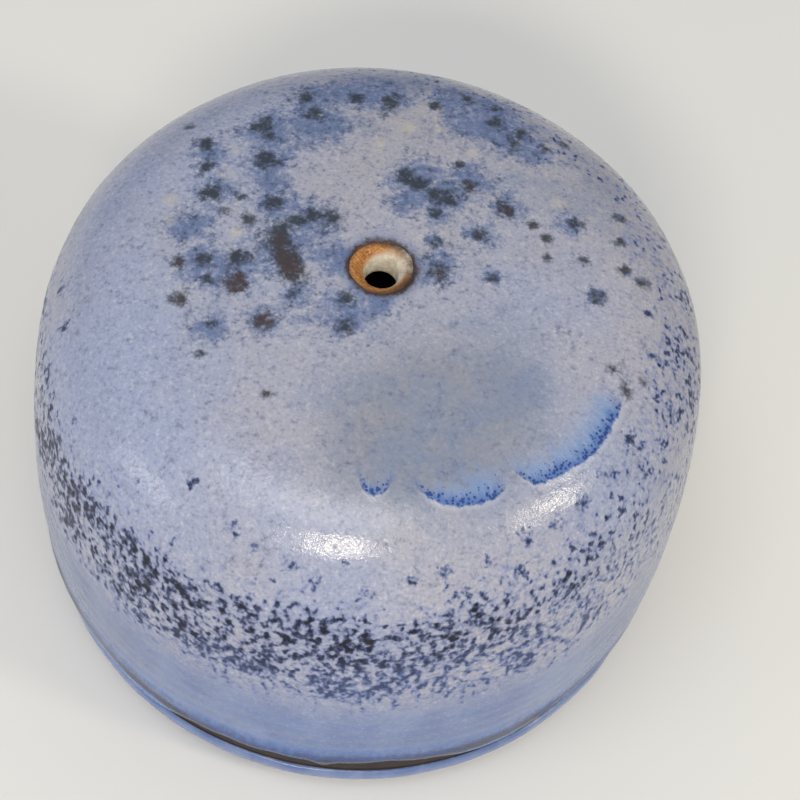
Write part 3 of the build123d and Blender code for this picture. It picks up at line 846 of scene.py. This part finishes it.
def bell_glaze_material():
    s = Shader("blue_glaze_bell", IOR=1.5)
    along, foot = s.attribute("along"), s.attribute("foot")
    fine = s.noise(0.55, 2, 0.6)
    small = s.noise(1.1, 2, 0.6, shift=0.3)
    feather = s.noise(3.4, 5, 0.74, shift=0.7)
    ragged = s.noise(2.2, 4, 0.76, shift=1.3)
    cloud = s.noise(13, 2, 0.5)

    # the ground: pinkish grey to lilac, duller in places, with painted shade on the far sides, peppered and flecked
    tint = s.step(s.sum((s.attribute("tint"), 1.0), (cloud, 0.35), (feather, 0.15)), -0.5, 1.0)
    colour = s.mix(tint, PINK_GREY, LILAC)
    # steelier grey patches; at the far right and the back they are painted shade
    shade = s.step(s.sum((s.attribute("shade"), 1.0), (cloud, 0.25), (feather, 0.12)), 0.1, 1.1)
    shade_colour = s.mix(s.step(s.sum((cloud, 0.6), (feather, 0.6)), -0.5, 0.8), DULL_GREY, STEEL)
    colour = s.mix(s.math("MULTIPLY", shade, 0.8), colour, shade_colour)
    lower = s.step(s.sum((along, 1.0), (feather, 2.5)), 76, 94)
    streak = s.noise(9, 3, 0.55, stretch=(1, 1, 0.5), shift=0.1)
    colour = s.mix(lower, colour, s.mix(s.step(streak, -0.9, 0.9), LOWER_BLUE, LOWER_PALE))
    # Painted shade: a duller brown-grey over the sides of the wall away from the front
    painted_shade = s.step(s.sum((s.attribute("painted_shade"), 1.0), (cloud, 0.15), (feather, 0.12)), 0.0, 1.1)
    colour = s.mix(s.math("MULTIPLY", painted_shade, 0.85), colour, PAINTED_SHADE_GREY)
    grain = s.sum((fine, 0.75), (small, 0.5))
    calm = s.step(along, 78, 92, 1.0, 0.4)
    wisp = s.step(s.sum((feather, 0.7), (ragged, 0.6), (small, 0.2)), 0.05, 1.1)
    colour = s.mix(s.math("MULTIPLY", wisp, s.math("MULTIPLY", calm, 0.75)), colour, PEPPER)
    colour = s.mix(s.math("MULTIPLY", s.step(grain, 0.0, 1.0), s.math("MULTIPLY", calm, 0.55)), colour, PEPPER)
    fleck = s.math("MULTIPLY", s.math("MULTIPLY", calm, 0.5), s.sum((shade, -0.7), (painted_shade, -0.7), (1.0, 1.0), clamp=True))
    colour = s.mix(s.math("MULTIPLY", s.step(grain, -0.05, -1.0), fleck), colour, FLECK)
    cream = s.sum((s.attribute("cream"), 1.0), (ragged, 0.55), (small, 0.3))
    colour = s.mix(s.step(cream, 0.4, 1.2, 0.0, 0.6), colour, CREAM)

    # blue halos and dark blotches on the crown, their edges feathered into the ground
    halo_reach = s.sum((s.attribute("halo"), 0.95), (feather, 0.42), (small, 0.24), (fine, 0.12))
    halo = s.step(halo_reach, 0.18, 0.98)
    uneven = s.sum((ragged, 0.9), (small, 0.6), (fine, 0.3))
    halo_colour = s.mix(s.step(uneven, -1.0, 0.0), HALO_PALE, HALO_BLUE)
    halo_colour = s.mix(s.step(uneven, 0.0, 1.0), halo_colour, HALO_DEEP)
    colour = s.mix(s.math("MULTIPLY", halo, 0.92), colour, halo_colour)
    dark_reach = s.sum((s.attribute("dark"), 1.0), (ragged, 0.42), (small, 0.16), (fine, 0.10))
    dark = s.step(dark_reach, 0.16, 0.92)
    core = s.mix(s.step(s.sum((s.attribute("rust"), 1.0), (ragged, 0.3)), 0.15, 0.8), CORE_GREY, CORE_RUST)
    core = s.mix(s.step(s.sum((fine, 0.7), (small, 0.5)), -0.1, -1.0, 0.0, 0.5), core, HALO_BLUE)
    colour = s.mix(s.math("MULTIPLY", dark, 0.92), colour, core)

    # speckles in a band round the shoulder, and lone stars above it
    density = s.attribute("speckle")
    coarse = s.noise(1.25, 1, 0.5, stretch=(1, 1, 0.75), shift=1.1)
    crumb = s.noise(0.7, 2, 0.5, stretch=(1, 1, 0.8), shift=1.7)
    gather = s.noise(7.0, 2, 0.5, shift=2.1)
    grit = s.sum((coarse, 0.54), (crumb, 0.30), (gather, 0.26))
    over = s.sum((grit, 1.0), (density, 1.0), (1.0, -0.88))
    present = s.step(density, 0.0, 0.12)
    speck_halo = s.math("MULTIPLY", s.step(over, -0.45, 0.05), present)
    speck = s.math("MULTIPLY", s.step(over, -0.08, 0.24), present)
    heart = s.math("MULTIPLY", s.step(over, 0.12, 0.58), present)
    star = s.sum((s.attribute("star"), 1.0), (coarse, 0.45), (crumb, 0.40))
    colour = s.mix(s.math("MULTIPLY", speck_halo, 0.55), colour, SPECK_HALO)
    colour = s.mix(s.step(star, 0.50, 1.0, 0.0, 0.8), colour, SPECK_SOFT)
    colour = s.mix(s.step(star, 0.8, 1.25, 0.0, 0.8), colour, SPECK_NAVY)
    faded = s.step(s.sum((along, 1.0), (feather, 3.0), (s.x, 0.2)), 68, 82)
    brown = s.math("MULTIPLY", s.step(gather, 0.2, 0.9), s.step(along, 74, 66))
    heart_colour = s.mix(faded, s.mix(brown, SPECK_NAVY, SPECK_BROWN), SPECK_DEEP)
    colour = s.mix(s.math("MULTIPLY", speck, 0.88), colour, s.mix(faded, SPECK_DEEP, SPECK_SOFT))
    colour = s.mix(s.math("MULTIPLY", heart, 0.95), colour, heart_colour)

    # pools of cobalt where the crown turns down
    inside = s.sum((s.attribute("pool"), 1.0), (small, 0.22), (fine, 0.16))
    weight = s.attribute("pooled")
    running = s.round_noise(0.9, 3.2, 3, 0.6)
    share = s.sum((s.math("DIVIDE", inside, s.attribute("reach")), 1.0), (running, 0.34), (small, 0.14))
    present = s.math("MULTIPLY", s.step(inside, -0.25, 0.25), weight)
    haze = s.math("MULTIPLY", s.step(share, 1.25, 0.1), present)
    haze_colour = s.mix(s.step(s.sum((inside, 1.0), (running, 0.9)), 0.4, 2.6), POOL_DEEP, POOL_HAZE)
    colour = s.mix(s.math("MULTIPLY", haze, 0.9), colour, haze_colour)
    dot_size = s.sum((s.step(s.sum((inside, 1.0), (running, 1.1)), 3.4, 0.0), 0.52), (1.0, 0.04))
    dots = s.step(s.sum((dot_size, 1.0), (s.cells(0.6), -1.0)), -0.08, 0.12)
    dots = s.math("MULTIPLY", s.math("MULTIPLY", dots, s.step(inside, -0.1, 0.3)), s.step(weight, 0.15, 0.7))
    colour = s.mix(s.math("MULTIPLY", dots, 0.88), colour, COBALT)
    rim = s.math("MULTIPLY", s.step(inside, -1.2, -0.4), s.step(inside, 0.1, -0.3))
    colour = s.mix(s.math("MULTIPLY", rim, s.math("MULTIPLY", weight, 0.25)), colour, PALE_RIM_AND_HIGHLIGHT)

    # the lower edge, where the glaze runs thick and blue, and the edge at the vent
    run = s.noise(1.4, 4, 0.72, stretch=(1, 1, 0.35), shift=0.9)
    depth = s.sum((foot, 1.0), (run, 1.6), (streak, 0.5))
    colour = s.mix(s.step(depth, 9.0, 2.5, 0.0, 0.95), colour, COBALT_LIGHT)
    colour = s.mix(s.step(depth, 5.4, 1.4, 0.0, 0.95), colour, COBALT)
    colour = s.mix(s.step(s.sum((foot, 1.0), (run, 0.6)), 1.7, 0.3), colour, EDGE_NAVY)
    colour = s.mix(s.step(s.sum((foot, 1.0), (run, 0.4)), -0.6, -1.5), colour, COBALT_LIGHT)
    near_vent = s.sum((along, 1.0), (small, 0.45), (ragged, 0.35))
    colour = s.mix(s.step(near_vent, 7.8, 6.0, 0.0, 0.4), colour, HALO_BLUE)
    colour = s.mix(s.step(near_vent, 6.5, 5.2), colour, LIP_FRINGE)
    colour = s.mix(s.step(near_vent, 5.2, 4.7), colour, LIP_BROWN)

    matt = s.math("MAXIMUM", dark, speck)
    matt = s.math("MAXIMUM", matt, s.step(near_vent, 7.6, 6.0))
    micro = s.noise(0.24, 1, 0.5)
    s.feed(Base_Color=colour, Roughness=s.sum((matt, 0.2), (fine, 0.06), (1.0, 0.165)),
           Specular_IOR_Level=s.sum((matt, -0.35), (1.0, 0.5)))
    s.bump(s.sum((fine, 0.8), (small, 0.35), (micro, 0.45), (matt, -0.4)), 0.014)
    return s.material


def base_glaze_material():
    s = Shader("blue_glaze_base", IOR=1.5)
    fine, small = s.noise(0.5, 2, 0.6), s.noise(1.2, 2, 0.6)
    streak = s.noise(5, 3, 0.6, stretch=(1, 1, 0.4))
    foot = s.attribute("foot")
    colour = s.mix(s.step(streak, -0.8, 0.8), LOWER_BLUE, LOWER_PALE)
    colour = s.mix(s.step(fine, 0.2, 1.4, 0.0, 0.4), colour, PEPPER)
    # Painted highlight: a near-white line along the glaze's rounded top edge by the seat
    colour = s.mix(s.step(s.sum((s.attribute("along"), 1.0), (small, 0.3)), 1.6, 0.6, 0.0, 0.7), colour, PALE_RIM_AND_HIGHLIGHT)
    depth = s.sum((foot, 1.0), (s.noise(1.4, 2, 0.6, stretch=(1, 1, 0.4)), 0.5))
    colour = s.mix(s.step(depth, 4.0, 1.6, 0.0, 0.8), colour, COBALT_LIGHT)
    colour = s.mix(s.step(depth, 1.5, 0.5), colour, EDGE_NAVY)
    s.feed(Base_Color=colour, Roughness=s.sum((fine, 0.03), (1.0, 0.24)))
    s.bump(s.sum((fine, 0.5), (small, 0.3)), 0.012)
    return s.material


def clay_material(name, lip=False):
    """Iron-bearing stoneware, toasted where it is bare. The vent's lip is orange outside, browner on its right with
    painted shade, and pale in its throat.
    """
    s = Shader(name, IOR=1.45)
    fine, small, patch = s.noise(0.35, 3, 0.6), s.noise(1.1, 2, 0.6), s.noise(5, 3, 0.55)
    grog = s.cells(1.3)
    turning = s.noise(0.9, 2, 0.5, stretch=(0.05, 0.05, 1.0), shift=0.4)
    colour = s.mix(s.step(s.sum((patch, 0.7), (small, 0.4)), -0.8, 0.9), paint(32, 25, 25), paint(54, 40, 36))
    colour = s.mix(s.step(s.sum((fine, 0.7), (small, 0.3)), 0.2, 1.0, 0.0, 0.5), colour, paint(26, 21, 22))
    colour = s.mix(s.step(s.sum((grog, 1.0), (fine, 0.05)), 0.16, 0.08, 0.0, 0.4), colour, paint(116, 92, 72))
    rough = s.sum((small, 0.05), (fine, 0.04), (1.0, 0.68))
    if lip:
        radius = s.math("POWER", s.sum((s.math("POWER", s.x, 2.0), 1.0), (s.math("POWER", s.y, 2.0), 1.0)), 0.5)
        depth = s.sum((s.z, 1.0), (1.0, -BELL_CLAY_TOP))
        level = s.sum((depth, 1.0), (s.x, -0.16), (s.y, -0.10), (small, 0.12), (fine, 0.10))
        orange = s.mix(s.step(s.sum((small, 0.7), (fine, 0.8)), -0.8, 0.9), paint(138, 82, 36), paint(206, 150, 88))
        brown = s.mix(s.step(s.sum((fine, 0.9), (small, 0.4)), -0.8, 0.8), paint(76, 52, 40), paint(138, 90, 50))
        # The lip turns brown towards its edge; that it turns brown sooner towards the right is painted shade.
        lip_colour = s.mix(s.step(s.sum((radius, 1.0), (small, 0.3), (s.x, 0.16)), 3.9, 4.9), orange, brown)
        lip_colour = s.mix(s.step(s.sum((radius, 1.0), (small, 0.25), (s.x, 0.08)), 4.7, 5.4), lip_colour, paint(56, 44, 42))
        cream = s.mix(s.step(s.sum((small, 0.6), (fine, 0.4)), -0.7, 0.9), paint(214, 209, 196), paint(174, 160, 140))
        lip_colour = s.mix(s.step(level, -0.6, -1.5), lip_colour, cream)
        around_vent = s.math("MULTIPLY", s.step(radius, 7.5, 6.8), s.step(depth, -5.6, -4.4))
        colour = s.mix(around_vent, colour, lip_colour)
    s.feed(Base_Color=colour, Roughness=rough)
    s.bump(s.sum((fine, 0.4), (small, 0.4), (turning, 0.5), (s.step(grog, 0.2, 0.05), 0.5)), 0.03)
    return s.material


def liner_material():
    """A pale liner glaze: cream, mottled with tan, with iron specks."""
    s = Shader("liner_glaze", IOR=1.5)
    fine, small, patch = s.noise(0.5, 2, 0.6), s.noise(1.4, 2, 0.6), s.noise(9, 3, 0.55)
    streak = s.noise(4, 3, 0.6, stretch=(1, 1, 0.35), shift=0.2)
    colour = s.mix(s.step(s.sum((patch, 0.7), (streak, 0.5)), -0.8, 0.9), paint(206, 200, 184), paint(186, 186, 182))
    colour = s.mix(s.step(s.sum((fine, 0.6), (small, 0.4)), 0.2, 1.1, 0.0, 0.35), colour, paint(160, 148, 128))
    specks = s.step(s.sum((s.cells(3.2), 1.0), (small, 0.05), (fine, 0.03)), 0.13, 0.07)
    colour = s.mix(s.math("MULTIPLY", specks, 0.75), colour, paint(92, 72, 54))
    s.feed(Base_Color=colour, Roughness=s.sum((fine, 0.03), (patch, 0.02), (1.0, 0.22)))
    s.bump(s.sum((fine, 0.4), (small, 0.4)), 0.012)
    return s.material


toasted = clay_material("bare_clay")
liner = liner_material()
for piece, body, node, slot, material in (
    (bell_glaze, "bell", "bell_blue_glaze", "blue_glaze", bell_glaze_material()),
    (bell_clay, "bell", "bell_shell", "bare_clay", clay_material("bare_clay_bell", lip=True)),
    (bell_liner, "bell", "bell_liner_glaze", "liner_glaze", liner),
    (cup_clay, "bell", "butter_cup", "bare_clay", toasted),
    (cup_liner, "bell", "cup_liner_glaze", "liner_glaze", liner),
    (cup_coil, "bell", "cup_lute_coil", "bare_clay", toasted),
    (base_clay, "crock", "crock_base", "bare_clay", toasted),
    (base_glaze, "crock", "base_blue_glaze", "blue_glaze", base_glaze_material()),
    (well_clay, "crock", "well_wall", "bare_clay", toasted),
    (well_liner, "crock", "well_liner_glaze", "liner_glaze", liner),
):
    piece.data.materials.append(material)
    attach(piece, body)
    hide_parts(node)
well_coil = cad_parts["well_lute_coil"].data.materials
well_coil.clear()
well_coil.append(toasted)

# ---------------------------------------------------------------- floor, light and camera


def floor_material():
    s = Shader("floor")
    broad = s.noise(180, 2, 0.5)
    s.feed(Base_Color=s.mix(s.step(broad, -1, 1), paint(236, 235, 233), paint(229, 228, 227)),
           Roughness=s.sum((broad, 0.03), (1.0, 0.75)))
    return s.material


FLOOR_HALF = 3000.0
floor_rows = np.array([(-1, -1), (1, -1), (1, 1), (-1, 1)]) * FLOOR_HALF * MM
floor_mesh = bpy.data.meshes.new("floor")
floor_mesh.from_pydata([(x, y, 0) for x, y in floor_rows], [], [(0, 1, 2, 3)])
floor_mesh.materials.append(floor_material())
floor = bpy.data.objects.new("floor", floor_mesh)
bpy.context.scene.collection.objects.link(floor)

MIDDLE = Vector((0, 0, TOP / 2)) * MM


def soft_box(name, azimuth, elevation, distance, width, height, power, colour):
    """An area light aimed at the crock, from that azimuth and elevation in degrees, in metres and watts."""
    light = bpy.data.lights.new(name, "AREA")
    light.shape = "RECTANGLE"
    light.size, light.size_y, light.energy, light.color = width, height, power, colour
    lamp = bpy.data.objects.new(name, light)
    across = math.cos(math.radians(elevation))
    direction = Vector((
        across * math.cos(math.radians(azimuth)), across * math.sin(math.radians(azimuth)),
        math.sin(math.radians(elevation)),
    ))
    lamp.location = MIDDLE + direction * distance
    lamp.rotation_euler = direction.to_track_quat("Z", "Y").to_euler()
    bpy.context.scene.collection.objects.link(lamp)


WARM = (1.0, 0.89, 0.68)
WHITE = (1.0, 0.99, 0.97)
COOL = (0.80, 0.93, 1.0)
CLEAR = (0.93, 0.97, 1.0)
SKY_LOW = 0.14
SKY_HIGH = 0.46
soft_box("key", -93, 41, 1.2, 0.28, 0.15, 5.2, WARM)
soft_box("right_box", -22, 35, 1.3, 0.18, 0.10, 3.2, WARM)
soft_box("left_box", -151, 16, 1.2, 0.36, 0.26, 1.5, WHITE)
soft_box("glint", -71, 18, 1.2, 0.05, 0.05, 0.14, COOL)
soft_box("overhead", -104, 70, 1.5, 1.0, 0.7, 6.8, CLEAR)

world = bpy.data.worlds.new("world")
bpy.context.scene.world = world
world.use_nodes = True
sky = world.node_tree
direction = sky.nodes.new("ShaderNodeTexCoord").outputs["Generated"]
split = sky.nodes.new("ShaderNodeSeparateXYZ")
brightness = sky.nodes.new("ShaderNodeMapRange")
for label, value in (("From Min", 0.0), ("From Max", 0.8), ("To Min", SKY_LOW), ("To Max", SKY_HIGH)):
    brightness.inputs[label].default_value = value
sky.links.new(direction, split.inputs[0])
sky.links.new(split.outputs[2], brightness.inputs["Value"])
sky.links.new(brightness.outputs[0], sky.nodes["Background"].inputs["Strength"])
sky.nodes["Background"].inputs["Color"].default_value = (0.93, 0.96, 1.0, 1)
bpy.context.scene.view_settings.view_transform = "Standard"

CAMERA_ELEVATION = math.radians(56.98)
CAMERA_ROLL = math.radians(8.35)
CAMERA_DISTANCE = 371.6
AIM_RIGHT = 5.98
AIM_UP = 0.10
AIM_HEIGHT = 43.16
LENS = 95.54

forward = Vector((0, math.cos(CAMERA_ELEVATION), -math.sin(CAMERA_ELEVATION)))
level_right = Vector((1, 0, 0))
level_up = level_right.cross(forward)
right = level_right * math.cos(CAMERA_ROLL) + level_up * math.sin(CAMERA_ROLL)
up = level_up * math.cos(CAMERA_ROLL) - level_right * math.sin(CAMERA_ROLL)
camera = bpy.data.objects.new("camera", bpy.data.cameras.new("camera"))
camera.data.lens = LENS
camera.data.sensor_width = 36.0
camera.data.clip_start = 0.01
spot = Vector((0, 0, AIM_HEIGHT)) + right * AIM_RIGHT + up * AIM_UP - forward * CAMERA_DISTANCE
camera.matrix_world = Matrix.Translation(spot * MM) @ Matrix((right, up, -forward)).transposed().to_4x4()
bpy.context.scene.collection.objects.link(camera)
bpy.context.scene.camera = camera
